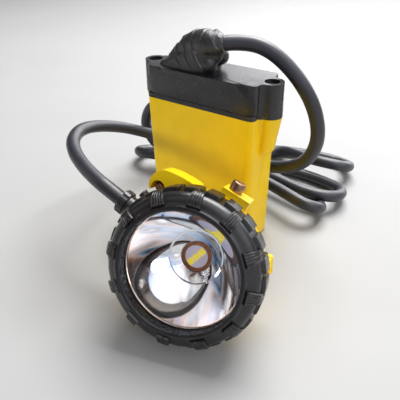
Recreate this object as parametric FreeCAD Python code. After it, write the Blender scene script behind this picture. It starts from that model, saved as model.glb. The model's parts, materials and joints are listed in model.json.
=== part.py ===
import FreeCAD, Part
import math
import os

# A miner's cap lamp: a battery box with a screwed lid, a loose hank of cable and a headpiece
# that lies tilted back on its bezel and its helmet hook. Millimetres, +Z up.
# The origin is the centre of the battery box's base; -Y is the box's front.

os.makedirs("parts", exist_ok=True)
V = FreeCAD.Vector

# ---- driving dimensions: battery box ----
BOX_WIDTH = 81.0
BOX_DEPTH = 30.6
CASE_HEIGHT = 93.3
LID_HEIGHT = 20.7
WALL = 2.2
FLOOR = 2.5
CORNER_TOP_R = 3.5
CORNER_BASE_R = 6.0
CAVITY_CORNER_R = 3.8
BASE_INSET = 1.2
BASE_RISE = 1.5
BOSS_X = 43.4
BOSS_R = 7.5
BOSS_TOP_R = 6.95
BOSS_ROOT_X = 35.0
BOSS_SPREAD = 13.0
TOWER_DROP = 22.3
TOWER_WAIST_R = 6.6
TOWER_WAIST_X = 40.7
TOWER_TIP_DROP = 28.8
TOWER_TIP_R = 4.6
TOWER_TIP_X = 36.5
SCREW_BORE_R = 4.6
SCREW_BORE_DEPTH = 6.0
SCREW_R = 2.0
SCREW_HEAD_R = 4.2
SCREW_HEAD_HEIGHT = 3.6
SCREW_REACH = 9.0
SCREW_SOCKET_R = 1.8
SCREW_SOCKET_DEPTH = 2.2
INSERT_R = 3.0
INSERT_DEPTH = 12.0
LID_CORNER_R = 3.0
LID_END_WALL = 6.5
PANEL_STEP = 1.9
PANEL_FACE_STEP = 0.4
PANEL_FOOT = 3.0
PANEL_HALF = 39.8
PANEL_ARC_X = 10.8
PANEL_ARC_Z = 14.0
PANEL_FACE_HALF = 34.4
PANEL_FACE_ARC_X = 8.4
PANEL_FACE_ARC_Z = 16.0
GASKET = 1.1
CELL_R = 9.2
CELL_LENGTH = 65.0
CELL_PITCH = 18.75
CELL_COUNT = 4
CELL_LOW = 5.2
CELL_TOP = CELL_LOW + CELL_LENGTH
CRADLE_GAP = 0.2
CRADLE_LOW_TOP = 9.0
CRADLE_HIGH = (62.0, 68.0)
STRIP = 0.3
STRIP_HALF_X = 34.0
STRIP_HALF_Y = 3.5
PAD_TOP = 74.0
PAD_HALF = (30.0, 8.0)
BOARD_TOP = 75.6
BOARD_HALF = (32.0, 9.0)
LOOP_WIDTH = 38.0
LOOP_LOW = 14.0
LOOP_HIGH = 84.0
LOOP_GAP = 7.0
LOOP_THICK = 3.0
LOOP_FOOT = 9.0
LOOP_RISE = 6.0
LOOP_BEND = 1.5
RIVET_R = 1.5
RIVET_HEAD_R = 2.8
RIVET_INNER_HEAD = 0.8
RIVET_OUTER_HEAD = 1.4

# ---- driving dimensions: cable and its entry on the lid ----
CABLE_R = 4.5
CABLE_FIT = 0.05
LEAD_IN = 10.5
WIRE_R = 0.9
BEND_SHARE = 0.45
MOUTH_R = 6.0
WRAP = 0.8
WRAP_FROM = -15.0
WRAP_LIFT = 3.0
HUMP_FOOT = (-13.0, -0.5, 21.5, 11.5)
HUMP_CROWN = (-5.0, -3.0, 10.0, 6.5)
HUMP_CROWN_DROP = 5.0
CLAMP_HALF = (11.0, 8.0)
CLAMP_HEIGHT = 6.0
CLAMP_SCREW_X = 8.5
CLAMP_SCREW_R = 1.18
CLAMP_HOLE_R = 1.2
CLAMP_HEAD_R = 2.2
CLAMP_HEAD = 1.6

# ---- driving dimensions: headpiece, in its own frame (X right, Y up, Z forward) ----
HEAD_AZIMUTH = -73.0
HEAD_TILT = 22.8
HEAD_X = 48.2
HEAD_Y = -96.9
REST_R = 42.9
REST_BACK = 13.6
REST_GAP = 0.1
RUN_GAP = 0.3
LENS_R = 34.5
LENS_THICK = 3.0
LENS_FRONT = -RUN_GAP
SEAL_FRONT = LENS_FRONT - LENS_THICK
SEAL_THICK = 1.2
WINDOW_R = 31.4
LIP_Z = 4.75
THREAD_R = 38.2
RING_R = 41.0
BEZEL_BACK = 16.0
BEZEL_SHELF = 4.6
LUG_COUNT = 24
LUG_FRONT = 2.8
LUG_GAP_WIDTH = 2.9
LUG_GAP_ANGLE = 7.0
BAR_COUNT = 12
BAR_ANGLE = -7.0
BAR_HEIGHT = 1.5
BAR_LIP_WIDTH = 7.6
BAR_REAR_WIDTH = 5.2
BAR_INNER_R = 34.5
BAR_OUTER_R = 44.5
REFLECTOR_MOUTH_R = 31.2
REFLECTOR_THROAT_R = 9.0
REFLECTOR_TOP = -4.8
REFLECTOR_DEPTH = 27.0
REFLECTOR_WALL = 1.1
REFLECTOR_STEPS = 12
FLANGE_THICK = 1.2
FLANGE_R = LENS_R + 0.2
RIM_Z = REFLECTOR_TOP - FLANGE_THICK
CAVITY_R = 33.4
BODY_BACK = 49.5
BOARD_FACE = -REFLECTOR_DEPTH - 0.2
BOARD_THICK = 1.2
LED_BOARD_R = 8.6
LED_RING_R = 6.6
LED_RING_RISE = 0.15
CHIP_HALF = 1.7
CHIP_RISE = 0.7
CHIP_PITCH = 4.3
CHIP_ROW_ANGLE = 48.0
SINK_R = 30.3
SINK_POST_R = 11.5
SINK_FACE = -31.0
SINK_BACK = -34.0
FIN_RADII = (25.0, 20.0, 15.0)
FIN_THICK = 1.6
FIN_BACK = -38.0
DRIVER_R = 21.0
DRIVER_FACE = -41.0
DRIVER_BACK = -42.4
DRIVER_PARTS_TOP = -38.6
KNOB_ANGLE = 5.0
KNOB_BACK = 28.0
KNOB_R = 5.5
KNOB_BASE = 38.8
KNOB_HEIGHT = 3.0
KNOB_EDGE_R = 0.8
FLUTE_COUNT = 10
FLUTE_R = 0.9
POINTER_HALF = (0.9, 4.2)
POINTER_RISE = 0.5
SHAFT_R = 2.5
SHAFT_SOCKET = 2.2
SHAFT_FOOT = 28.4
ORING_R = 3.8
ORING_SEAT = (35.5, 37.0)
SWITCH_HALF = (2.9, 6.0)
SWITCH_DEPTH = (19.5, 28.0)
STUD_ANGLE = 66.5
STUD_BACK = 24.3
STUD_R = 3.8
STUD_LOW = 44.3
STUD_HIGH = 49.8
STUD_EDGE_R = 1.0
STUD_SHANK_R = 1.95
STUD_MARK_R = 1.0
STUD_MARK_DEPTH = 1.2
STUD_BORE_R = 2.0
STUD_NUT_R = 3.4
STUD_NUT = (29.8, 32.2)
PIN_AT = (-23.7, 36.9)
PIN_R = 2.0
PIN_BACK = -33.5
PIN_FRONT = -19.6
HOOD_BACK = -30.5
HOOD_DEPTH = 12.5
HOOD_FLOOR = -26.5
HOOD_POCKET_R = 4.0
COLLAR_R = 3.6
COLLAR_THICK = 1.3
GLAND_ANGLE = 152.0
GLAND_BACK = 24.3
GLAND_FACE = 53.5
NECK_R = 5.9
NECK_FOOT = 31.5
NECK_STEP = 0.6
NUT_R = 7.3
NUT_HEIGHT = 4.4
NUT_RIM = 1.6
NOTCH_COUNT = 8
NOTCH_HALF = 0.9
NOTCH_DEPTH = 0.8
GLAND_SEAL_R = 5.0
GLAND_SEAL_BORE_R = 4.0
GLAND_SEAL_FOOT = 47.0
CABLE_END_FOOT = 30.0
PLUG_ANGLE = 138.0
PLUG_R = 2.7
PLUG_LOW = 44.2
PLUG_HIGH = 46.9
PLUG_SLOT_R = 1.2
PLUG_SLOT_LOW = 45.6
PLUG_POST_R = 3.2
HOOK_WIDTH = 25.0
HOOK_THICK = 3.0
HOOK_GAP = 7.5
HOOK_DOWN = 22.5
HOOK_UP = 15.0
HOOK_CORNER_R = 4.0
HOOK_BLOCK_HALF = 11.0
HOOK_BLOCK_LOW = 6.0
HOOK_SEAT = BODY_BACK + 2.0
HOOK_SCREWS_X = (-7.0, 7.0)
HOOK_SCREW_Y = 10.5
HOOK_SCREW_R = 1.48
HOOK_HOLE_R = 1.5
HOOK_SCREW_HEAD_R = 2.6
HOOK_SCREW_HEAD = 1.6
HOOK_SCREW_TIP = -44.0

# ---- cable route from the boot on the lid to the headpiece's gland ----
ROUTE = [
    # over to the right and down behind the box
    (10, -2, 131), (20, 4.9, 132), (34, 11.5, 128.5), (50, 16.5, 115), (63, 20, 96),
    (67.5, 23, 74), (59.5, 27, 54), (41, 32, 41), (12, 38, 33), (-24, 42, 25), (-58, 40, 18),
    # first fold, on the left
    (-80, 36, 14.5), (-96, 32, 13.9), (-106, 37, 11), (-109, 47, 7), (-103, 57, 4.8),
    (-86, 66, 4.6), (-58, 86, 4.6), (-24, 112, 4.6), (10, 126, 4.6), (38, 131, 4.6),
    # far fold, on the right
    (54, 129, 5), (64, 119, 9), (64, 106, 14.5), (54, 98, 18), (36, 98, 17), (20, 107, 13),
    # fold behind the box
    (6, 115, 9.5), (-5, 112, 7), (-11, 102, 5.2), (-6, 92, 4.6), (10, 89, 4.6),
    (32, 92, 4.6), (50, 91, 4.6),
    # middle fold, on the right
    (63, 87, 5.2), (73, 78, 7.6), (73, 63, 11.6), (62, 54, 14), (46, 53, 14), (20, 59, 14),
    (-14, 62, 14), (-48, 55, 14),
    # raised fold, on the left
    (-70, 45, 15), (-90, 43, 20), (-99, 42, 35), (-94, 42, 52), (-80, 43, 62), (-58, 48, 60),
    (-36, 60, 46), (-16, 71, 27), (3, 76, 11), (22, 71, 4.8), (42, 62.5, 4.6),
    # near fold, on the right
    (56, 58, 4.8), (67, 50, 8), (68, 39, 13), (60, 32.5, 17), (46, 36.5, 17.5), (28, 43, 17),
    (-8, 51, 18), (-44, 51, 21), (-69, 42, 29),
    # round in the air to the headpiece
    (-84, 25, 40), (-89, 5, 51), (-91, -17, 60), (-87, -37, 66), (-76, -54, 68),
    (-61, -66, 68), (-43.5, -74.3, 67), (-28, -79, 65.3),
]

# ---- the headpiece's place ----
TILT = math.radians(HEAD_TILT)
HEAD_Z = REST_R * math.cos(TILT) + REST_BACK * math.sin(TILT) + REST_GAP
AZIMUTH = math.radians(HEAD_AZIMUTH)
FORWARD = V(math.cos(AZIMUTH) * math.cos(TILT), math.sin(AZIMUTH) * math.cos(TILT), math.sin(TILT))
RIGHT = V(0, 0, 1).cross(FORWARD).normalize()
UP = FORWARD.cross(RIGHT)
HEAD_PLACE = FreeCAD.Placement(FreeCAD.Matrix(
    RIGHT.x, UP.x, FORWARD.x, HEAD_X,
    RIGHT.y, UP.y, FORWARD.y, HEAD_Y,
    RIGHT.z, UP.z, FORWARD.z, HEAD_Z,
    0, 0, 0, 1))


# ---- helpers ----
def save(name, shape):
    """Write one node, after checking that it is sound."""
    if not shape.isValid():
        raise ValueError(name + " is not valid")
    shape.exportStep("parts/" + name + ".step")
    print(name, len(shape.Solids), round(shape.Volume, 1))


def save_head(name, shape):
    """Write a node that was built in the headpiece's own frame."""
    placed = shape.copy()
    placed.Placement = HEAD_PLACE.multiply(placed.Placement)
    save(name, placed)


def together(shapes):
    """Several separate solids in one node."""
    return Part.makeCompound(shapes)


def block(x, y, z):
    """Box between pairs of limits."""
    return Part.makeBox(x[1] - x[0], y[1] - y[0], z[1] - z[0], V(x[0], y[0], z[0]))


def drum(radius, low, high, x=0.0, y=0.0):
    """Upright cylinder between two heights."""
    return Part.makeCylinder(radius, high - low, V(x, y, low))


def ring(outer, inner, low, high, x=0.0, y=0.0):
    return drum(outer, low, high, x, y).cut(drum(inner, low, high, x, y))


def upright_edges(shape):
    """Edges that run along Z."""
    return [e for e in shape.Edges if e.BoundBox.XLength < 1e-6 and e.BoundBox.YLength < 1e-6]


def rounded_block(x, y, z, radius):
    """Box with rounded upright corners."""
    plain = block(x, y, z)
    return plain.makeFillet(radius, upright_edges(plain))


def rounded_outline(half_x, half_y, radius, z):
    """Rectangle with rounded corners, lying flat at a height."""
    base = rounded_block((-half_x, half_x), (-half_y, half_y), (z, z + 1), radius)
    return min(base.Faces, key=lambda face: face.BoundBox.ZMax).OuterWire


def wire(curves):
    return Part.Wire([curve.toShape() for curve in curves])


def polygon_face(points):
    return Part.Face(Part.makePolygon([V(*p) for p in points] + [V(*points[0])]))


def turned(profile):
    """Solid of revolution about Z from (radius, z) points."""
    face = polygon_face([(r, 0, z) for r, z in profile])
    return face.revolve(V(0, 0, 0), V(0, 0, 1), 360)


def radial(shape, angle, back):
    """Turn a shape built along +Z so that +Z points away from the lamp's axis."""
    out = shape.copy()
    out.rotate(V(0, 0, 0), V(0, 1, 0), 90)
    out.rotate(V(0, 0, 0), V(0, 0, 1), angle)
    out.translate(V(0, 0, -back))
    return out


def on_head(radius, angle, back):
    """Point in the row frame from cylindrical coordinates about the lamp's axis."""
    turn = math.radians(angle)
    return HEAD_PLACE.multVec(V(radius * math.cos(turn), radius * math.sin(turn), -back))


def rounded_path(points):
    """Straight runs joined by tangent arcs, with the arc radii."""
    points = [V(*p) for p in points]
    edges = []
    radii = []
    last = points[0]
    for before, corner, after in zip(points, points[1:], points[2:]):
        into = (corner - before).normalize()
        away = (after - corner).normalize()
        half = into.getAngle(away) / 2
        cut = BEND_SHARE * min((corner - before).Length, (after - corner).Length)
        start = corner - into * cut
        end = corner + away * cut
        radius = cut / math.tan(half)
        inward = (away - into).normalize()
        middle = corner + inward * (radius / math.cos(half) - radius)
        edges.append(Part.LineSegment(last, start).toShape())
        edges.append(Part.Arc(start, middle, end).toShape())
        radii.append(radius)
        last = end
    edges.append(Part.LineSegment(last, points[-1]).toShape())
    return Part.Wire(edges), radii


def tube(points, radius):
    """Round tube along a rounded path."""
    path, radii = rounded_path(points)
    start = V(*points[0])
    disc = Part.Wire(Part.makeCircle(radius, start, V(*points[1]) - start))
    solid = path.makePipeShell([disc], True, False)
    return solid, path.Length, radii


# ---- battery box ----
LID_LOW = CASE_HEIGHT
LID_TOP = CASE_HEIGHT + LID_HEIGHT
HALF_W = BOX_WIDTH / 2
HALF_D = BOX_DEPTH / 2


def boss_outline(side, z, middle, radius, spread):
    """Outline of a screw boss: a half circle that flares back into the box's end."""
    front = V(side * BOSS_ROOT_X, -spread, z)
    back = V(side * BOSS_ROOT_X, spread, z)
    arc_front = V(side * middle, -radius, z)
    arc_back = V(side * middle, radius, z)
    return wire([
        Part.LineSegment(back, front),
        Part.LineSegment(front, arc_front),
        Part.Arc(arc_front, V(side * (middle + radius), 0, z), arc_back),
        Part.LineSegment(arc_back, back),
    ])


def tower(side):
    """Screw tower on the end of the case, leaning in to a rounded foot."""
    return Part.makeLoft([
        boss_outline(side, CASE_HEIGHT, BOSS_X, BOSS_R, BOSS_SPREAD),
        boss_outline(side, CASE_HEIGHT - TOWER_DROP, TOWER_WAIST_X, TOWER_WAIST_R, BOSS_SPREAD - 2),
        boss_outline(side, CASE_HEIGHT - TOWER_TIP_DROP, TOWER_TIP_X, TOWER_TIP_R, BOSS_SPREAD - 6),
    ], True, True)


def make_case():
    shell = Part.makeLoft([
        rounded_outline(HALF_W - BASE_INSET, HALF_D - BASE_INSET, CORNER_BASE_R - BASE_INSET, 0),
        rounded_outline(HALF_W, HALF_D, CORNER_BASE_R, BASE_RISE),
        rounded_outline(HALF_W, HALF_D, CORNER_TOP_R, CASE_HEIGHT),
    ], True, True)
    for side in (-1, 1):
        shell = shell.fuse(tower(side))
    shell = shell.cut(case_cavity(FLOOR)).cut(gasket_block())
    for side in (-1, 1):
        shell = shell.cut(drum(INSERT_R, CASE_HEIGHT - INSERT_DEPTH, CASE_HEIGHT, side * BOSS_X))
    for x, z in rivet_places():
        shell = shell.cut(Part.makeCylinder(RIVET_R, BOX_DEPTH, V(x, 0, z), V(0, 1, 0)))
    return shell.removeSplitter()


def case_cavity(low):
    """The case's hollow, from a height up to the lid."""
    return rounded_block((-HALF_W + WALL, HALF_W - WALL), (-HALF_D + WALL, HALF_D - WALL),
                         (low, CASE_HEIGHT), CAVITY_CORNER_R)


def gasket_block():
    """Outside of the seal that sits in a rebate round the case's mouth."""
    reach = WALL - GASKET
    return rounded_block((-HALF_W + reach, HALF_W - reach), (-HALF_D + reach, HALF_D - reach),
                         (CASE_HEIGHT - GASKET, CASE_HEIGHT), CORNER_TOP_R - reach)


def make_gasket():
    return gasket_block().cut(case_cavity(CASE_HEIGHT - GASKET))


def make_lid():
    front = -HALF_D + PANEL_STEP
    shell = rounded_block((-HALF_W, HALF_W), (front, HALF_D), (LID_LOW, LID_TOP), LID_CORNER_R)
    foot = rounded_block((-HALF_W, HALF_W), (-HALF_D, HALF_D), (LID_LOW, LID_LOW + PANEL_FOOT), CORNER_TOP_R)
    bosses = [Part.makeLoft([boss_outline(side, LID_LOW, BOSS_X, BOSS_R, BOSS_SPREAD),
                             boss_outline(side, LID_TOP, BOSS_X, BOSS_TOP_R, BOSS_SPREAD)], True, True)
              for side in (-1, 1)]
    shell = shell.fuse([foot, raised_panel(front)] + bosses)
    shell = shell.cut(rounded_block((-HALF_W + LID_END_WALL, HALF_W - LID_END_WALL),
                                    (front + WALL, HALF_D - WALL), (LID_LOW, LID_TOP - FLOOR), WALL))
    for side in (-1, 1):
        x = side * BOSS_X
        shell = shell.cut(drum(SCREW_R + 0.3, LID_LOW, LID_TOP, x))
        shell = shell.cut(drum(SCREW_BORE_R, LID_TOP - SCREW_BORE_DEPTH, LID_TOP, x))
    return shell.cut(tube(TAIL_ROUTE, CABLE_R + CABLE_FIT)[0]).removeSplitter()


def panel_outline(half, arc_x, arc_z, y):
    """Upright outline with a big quarter arc at each upper corner."""
    shoulder = half - arc_x
    arc_low = LID_TOP - arc_z
    lean = math.sqrt(0.5)
    mid_x = shoulder + arc_x * lean
    mid_z = arc_low + arc_z * lean
    return wire([
        Part.LineSegment(V(-half, y, LID_LOW), V(half, y, LID_LOW)),
        Part.LineSegment(V(half, y, LID_LOW), V(half, y, arc_low)),
        Part.Arc(V(half, y, arc_low), V(mid_x, y, mid_z), V(shoulder, y, LID_TOP)),
        Part.LineSegment(V(shoulder, y, LID_TOP), V(-shoulder, y, LID_TOP)),
        Part.Arc(V(-shoulder, y, LID_TOP), V(-mid_x, y, mid_z), V(-half, y, arc_low)),
        Part.LineSegment(V(-half, y, arc_low), V(-half, y, LID_LOW)),
    ])


def raised_panel(front):
    """Panel standing out of the lid's front, with wide slopes round its corners."""
    root = Part.Face(panel_outline(PANEL_HALF, PANEL_ARC_X, PANEL_ARC_Z, front)).extrude(V(0, WALL, 0))
    slope = Part.makeLoft([
        panel_outline(PANEL_HALF, PANEL_ARC_X, PANEL_ARC_Z, front),
        panel_outline(PANEL_FACE_HALF, PANEL_FACE_ARC_X, PANEL_FACE_ARC_Z, -HALF_D + PANEL_FACE_STEP),
    ], True, True)
    return root.fuse(slope)


def lid_screw(side):
    x = side * BOSS_X
    seat = LID_TOP - SCREW_BORE_DEPTH
    crown = seat + SCREW_HEAD_HEIGHT
    head = drum(SCREW_HEAD_R, seat, crown, x)
    head = head.cut(drum(SCREW_SOCKET_R, crown - SCREW_SOCKET_DEPTH, crown, x))
    return head.fuse(drum(SCREW_R, CASE_HEIGHT - SCREW_REACH, seat, x))


def screw_insert(side):
    x = side * BOSS_X
    return ring(INSERT_R, SCREW_R + 0.02, CASE_HEIGHT - INSERT_DEPTH, CASE_HEIGHT - 0.5, x)


def cell_places():
    return [(i - (CELL_COUNT - 1) / 2) * CELL_PITCH for i in range(CELL_COUNT)]


def make_cells():
    return together([drum(CELL_R, CELL_LOW, CELL_TOP, x) for x in cell_places()])


def make_cradles():
    half = HALF_W - WALL - CRADLE_GAP
    deep = HALF_D - WALL - CRADLE_GAP
    low = rounded_block((-half, half), (-deep, deep), (FLOOR, CRADLE_LOW_TOP), CAVITY_CORNER_R)
    high = rounded_block((-half, half), (-deep, deep), CRADLE_HIGH, CAVITY_CORNER_R)
    for x in cell_places():
        pocket = drum(CELL_R + CABLE_FIT, CELL_LOW - STRIP, CELL_TOP, x)
        low = low.cut(pocket)
        high = high.cut(pocket)
    low = low.cut(block((-STRIP_HALF_X, STRIP_HALF_X), (-STRIP_HALF_Y, STRIP_HALF_Y),
                        (CELL_LOW - STRIP, CELL_LOW)))
    return together([low, high])


def make_strips():
    return together([block((-STRIP_HALF_X, STRIP_HALF_X), (-STRIP_HALF_Y, STRIP_HALF_Y), (z, z + STRIP))
                     for z in (CELL_LOW - STRIP, CELL_TOP)])


def plate(half, low, high):
    """Flat plate centred in the box."""
    return block((-half[0], half[0]), (-half[1], half[1]), (low, high))


def make_board_parts():
    """Three small packages and a tall one on the protection board."""
    chips = [block((x, x + 5), (-4, 4), (BOARD_TOP, BOARD_TOP + 1.5)) for x in (-22, -14, -6)]
    return together(chips + [block((8, 18), (-6, 2), (BOARD_TOP, BOARD_TOP + 3.2))])


def rivet_places():
    return [(side * LOOP_WIDTH / 3, z) for side in (-1, 1)
            for z in (LOOP_LOW + LOOP_FOOT / 2, LOOP_HIGH - LOOP_FOOT / 2)]


def make_belt_loop():
    """Strap on the back of the case with a slot for a belt."""
    lean = LOOP_FOOT + LOOP_RISE
    back = HALF_D
    strap = [
        (0, back, LOOP_LOW), (0, back + LOOP_THICK, LOOP_LOW),
        (0, back + LOOP_THICK, LOOP_LOW + LOOP_FOOT - LOOP_BEND),
        (0, back + LOOP_GAP + LOOP_THICK, LOOP_LOW + lean - LOOP_BEND),
        (0, back + LOOP_GAP + LOOP_THICK, LOOP_HIGH - lean + LOOP_BEND),
        (0, back + LOOP_THICK, LOOP_HIGH - LOOP_FOOT + LOOP_BEND),
        (0, back + LOOP_THICK, LOOP_HIGH), (0, back, LOOP_HIGH),
        (0, back, LOOP_HIGH - LOOP_FOOT), (0, back + LOOP_GAP, LOOP_HIGH - lean),
        (0, back + LOOP_GAP, LOOP_LOW + lean), (0, back, LOOP_LOW + LOOP_FOOT),
    ]
    loop = polygon_face(strap).extrude(V(LOOP_WIDTH, 0, 0))
    loop.translate(V(-LOOP_WIDTH / 2, 0, 0))
    for x, z in rivet_places():
        loop = loop.cut(Part.makeCylinder(RIVET_R, BOX_DEPTH, V(x, 0, z), V(0, 1, 0)))
    return loop


def make_rivets():
    inner = HALF_D - WALL
    outer = HALF_D + LOOP_THICK
    rivets = []
    for x, z in rivet_places():
        shank = Part.makeCylinder(RIVET_R, outer - inner, V(x, inner, z), V(0, 1, 0))
        inside = Part.makeCylinder(RIVET_HEAD_R, RIVET_INNER_HEAD, V(x, inner - RIVET_INNER_HEAD, z),
                                   V(0, 1, 0))
        outside = Part.makeCone(RIVET_HEAD_R, RIVET_HEAD_R / 2, RIVET_OUTER_HEAD, V(x, outer, z), V(0, 1, 0))
        rivets.append(shank.fuse(inside).fuse(outside))
    return together(rivets)


# ---- cable entry on the lid ----
MOUTH = V(*ROUTE[0])
MOUTH_OUT = (V(*ROUTE[1]) - MOUTH).normalize()
TAIL_ROUTE = [tuple(MOUTH), tuple(MOUTH - MOUTH_OUT * 7), (-8, -4, 127), (-13.5, -1, 118), (-14, 0, 103)]
HUMP = [((-29, 1, 108), (0.3, 0, 1), 8.0), ((-22.5, 0.5, 116.5), (0.75, 0, 1), 8.3),
        ((-14, -1, 122.8), (1, 0, 0.75), 8.7), ((-6, -3, 128.3), (1, -0.1, 0.5), 8.4),
        ((2, -4.8, 130.6), (1, 0.2, 0.15), 7.6)]


def hump_rings(extra):
    rings = [Part.Wire(Part.makeCircle(r + extra, V(*at), V(*way))) for at, way, r in HUMP]
    return rings + [Part.Wire(Part.makeCircle(MOUTH_R + extra, MOUTH, MOUTH_OUT))]


def flat_ellipse(shape, z):
    """Level ellipse from its centre and its two radii."""
    x, y, along, across = shape
    return Part.Wire(Part.Ellipse(V(x, y, z), along, across).toShape())


def make_hump():
    """Moulded strain relief that carries the cable up and over the lid."""
    arch = Part.makeLoft(hump_rings(0.0), True, False)
    web = Part.makeLoft([flat_ellipse(HUMP_FOOT, LID_TOP - 1),
                         flat_ellipse(HUMP_CROWN, MOUTH.z - HUMP_CROWN_DROP)], True, False)
    below = block((-HALF_W, HALF_W), (-HALF_D, HALF_D), (LID_LOW, LID_TOP))
    whole = arch.fuse(web).cut(below)
    return whole.cut(tube(TAIL_ROUTE, CABLE_R + CABLE_FIT)[0])


def make_wrap():
    """Thin sleeve round the end of the hump, where the cable leaves it."""
    sleeve = Part.makeLoft(hump_rings(WRAP), True, False)
    sleeve = sleeve.common(block((WRAP_FROM, HALF_W), (-HALF_D, HALF_D),
                                 (LID_TOP + WRAP_LIFT, MOUTH.z + HALF_D)))
    sleeve = sleeve.cut(make_hump()).cut(tube(TAIL_ROUTE, CABLE_R + CABLE_FIT)[0])
    return max(sleeve.Solids, key=lambda solid: solid.Volume)


def make_clamp():
    """Saddle that grips the cable's tail under the lid's roof."""
    x = TAIL_ROUTE[-1][0]
    roof = LID_TOP - FLOOR
    wide, deep = CLAMP_HALF
    saddle = block((x - wide, x + wide), (-deep, deep), (roof - CLAMP_HEIGHT, roof))
    for side in (-1, 1):
        saddle = saddle.cut(drum(CLAMP_HOLE_R, roof - CLAMP_HEIGHT, roof, x + side * CLAMP_SCREW_X))
    saddle = saddle.cut(drum(CABLE_R + CABLE_FIT, roof - CLAMP_HEIGHT - 1, roof, x))
    return saddle.cut(tube(TAIL_ROUTE, CABLE_R + CABLE_FIT)[0])


def clamp_screw(x):
    roof = LID_TOP - FLOOR
    under = roof - CLAMP_HEIGHT
    return drum(CLAMP_SCREW_R, under, roof, x).fuse(drum(CLAMP_HEAD_R, under - CLAMP_HEAD, under, x))


def make_clamp_screws():
    return together([clamp_screw(TAIL_ROUTE[-1][0] + side * CLAMP_SCREW_X) for side in (-1, 1)])


def make_battery_leads():
    x, _, z = TAIL_ROUTE[-1]
    bend_z = (z - 5, LID_LOW - 0.3, LID_LOW - 7.3, LID_LOW - 12.3)
    leads = []
    for side in (-1.5, 1.5):
        route = [(x + side, 0, z - 1), (x + side, 0, bend_z[0]), (x + 4 + side, side, bend_z[1]),
                 (x + 16 + 2 * side, 2 * side, bend_z[2]), (x + 18 + 2 * side, 2 * side, bend_z[3]),
                 (x + 18 + 2 * side, 2 * side, BOARD_TOP)]
        leads.append(tube(route, WIRE_R)[0])
    return together(leads)


def build_battery():
    save("battery_case", make_case())
    save("lid_gasket", make_gasket())
    save("battery_lid", make_lid())
    save("lid_screws", together([lid_screw(side) for side in (-1, 1)]))
    save("screw_inserts", together([screw_insert(side) for side in (-1, 1)]))
    save("cells", make_cells())
    save("cell_cradles", make_cradles())
    save("nickel_strips", make_strips())
    save("foam_pad", plate(PAD_HALF, CELL_TOP + STRIP, PAD_TOP))
    save("protection_board", plate(BOARD_HALF, PAD_TOP, BOARD_TOP))
    save("board_parts", make_board_parts())
    save("belt_loop", make_belt_loop())
    save("belt_loop_rivets", make_rivets())


def build_cable():
    save("cable_hump", make_hump())
    save("boot_wrap", make_wrap())
    save("cable_tail", tube(TAIL_ROUTE, CABLE_R)[0])
    save("cable_clamp", make_clamp())
    save("clamp_screws", make_clamp_screws())
    save("battery_leads", make_battery_leads())
    face = on_head(GLAND_FACE, GLAND_ANGLE, GLAND_BACK)
    lead_in = on_head(GLAND_FACE + LEAD_IN, GLAND_ANGLE, GLAND_BACK)
    solid, length, radii = tube(ROUTE + [tuple(lead_in), tuple(face)], CABLE_R)
    section = math.pi * CABLE_R ** 2
    print("cable length", round(length, 1), "volume ratio", round(solid.Volume / (length * section), 4))
    print("cable radii", [round(r, 1) for r in radii])
    save("cable", solid)


# ---- headpiece ----
def make_bezel():
    """Screwed ring with a rounded lip, a sloped shoulder and a tread of bars and lugs."""
    base_r = RING_R - 0.5
    body = turned([
        (WINDOW_R, 0), (WINDOW_R + 0.3, LIP_Z), (WINDOW_R + 1.2, LIP_Z + 0.5), (34.6, LIP_Z + 0.5),
        (35.6, LIP_Z - 0.1), (38.4, 3.0), (40.1, 1.4), (RING_R, -0.4), (RING_R, 0.9 - LUG_FRONT),
        (base_r, 0.5 - LUG_FRONT), (base_r, -LUG_FRONT), (base_r, -BEZEL_BACK),
        (THREAD_R + RUN_GAP, -BEZEL_BACK), (THREAD_R + RUN_GAP, -BEZEL_SHELF),
        (LENS_R + RUN_GAP, -BEZEL_SHELF),
        (LENS_R + RUN_GAP, 0)])
    return body.fuse(bezel_bars() + [bezel_lugs()]).removeSplitter()


def bezel_bars():
    """Bars across the shoulder, wide at the lip."""
    rise = BAR_HEIGHT
    band = turned([
        (35.0, LIP_Z - 0.5), (35.6, LIP_Z + 0.75), (38.9, 3.0 + rise), (41.0, 1.4 + rise),
        (RING_R + rise, -0.2), (RING_R + rise, 1.0 - LUG_FRONT), (RING_R - 1, 1.0 - LUG_FRONT),
        (RING_R - 1.0, -1.0), (36.0, 1.0)])
    bars = []
    for i in range(BAR_COUNT):
        middle = math.radians(BAR_ANGLE + i * 360 / BAR_COUNT)
        corners = []
        for radius, width in ((BAR_INNER_R, BAR_LIP_WIDTH), (BAR_OUTER_R, BAR_REAR_WIDTH)):
            half = width / 2 / radius
            pair = [(radius * math.cos(middle + s * half), radius * math.sin(middle + s * half), -LUG_FRONT)
                    for s in (-1, 1)]
            corners.append(pair)
        outline = corners[0] + corners[1][::-1]
        prism = polygon_face(outline).extrude(V(0, 0, LUG_FRONT + 2 * LIP_Z))
        bars.append(prism.common(band))
    return bars


def bezel_lugs():
    """Band of short lugs round the ring's rear edge."""
    band = turned([(RING_R - 1.5, -LUG_FRONT), (REST_R, -LUG_FRONT), (REST_R, -REST_BACK),
                   (RING_R - 0.6, -BEZEL_BACK), (RING_R - 1.5, -BEZEL_BACK)])
    pitch = 360 / LUG_COUNT
    slots = []
    for i in range(LUG_COUNT):
        slot = block((RING_R - 0.5, REST_R + 2), (-LUG_GAP_WIDTH / 2, LUG_GAP_WIDTH / 2),
                     (-BEZEL_BACK - 1, -LUG_FRONT + 1))
        slot.rotate(V(0, 0, 0), V(0, 0, 1), LUG_GAP_ANGLE + i * pitch)
        slots.append(slot)
    return band.cut(slots)


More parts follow.
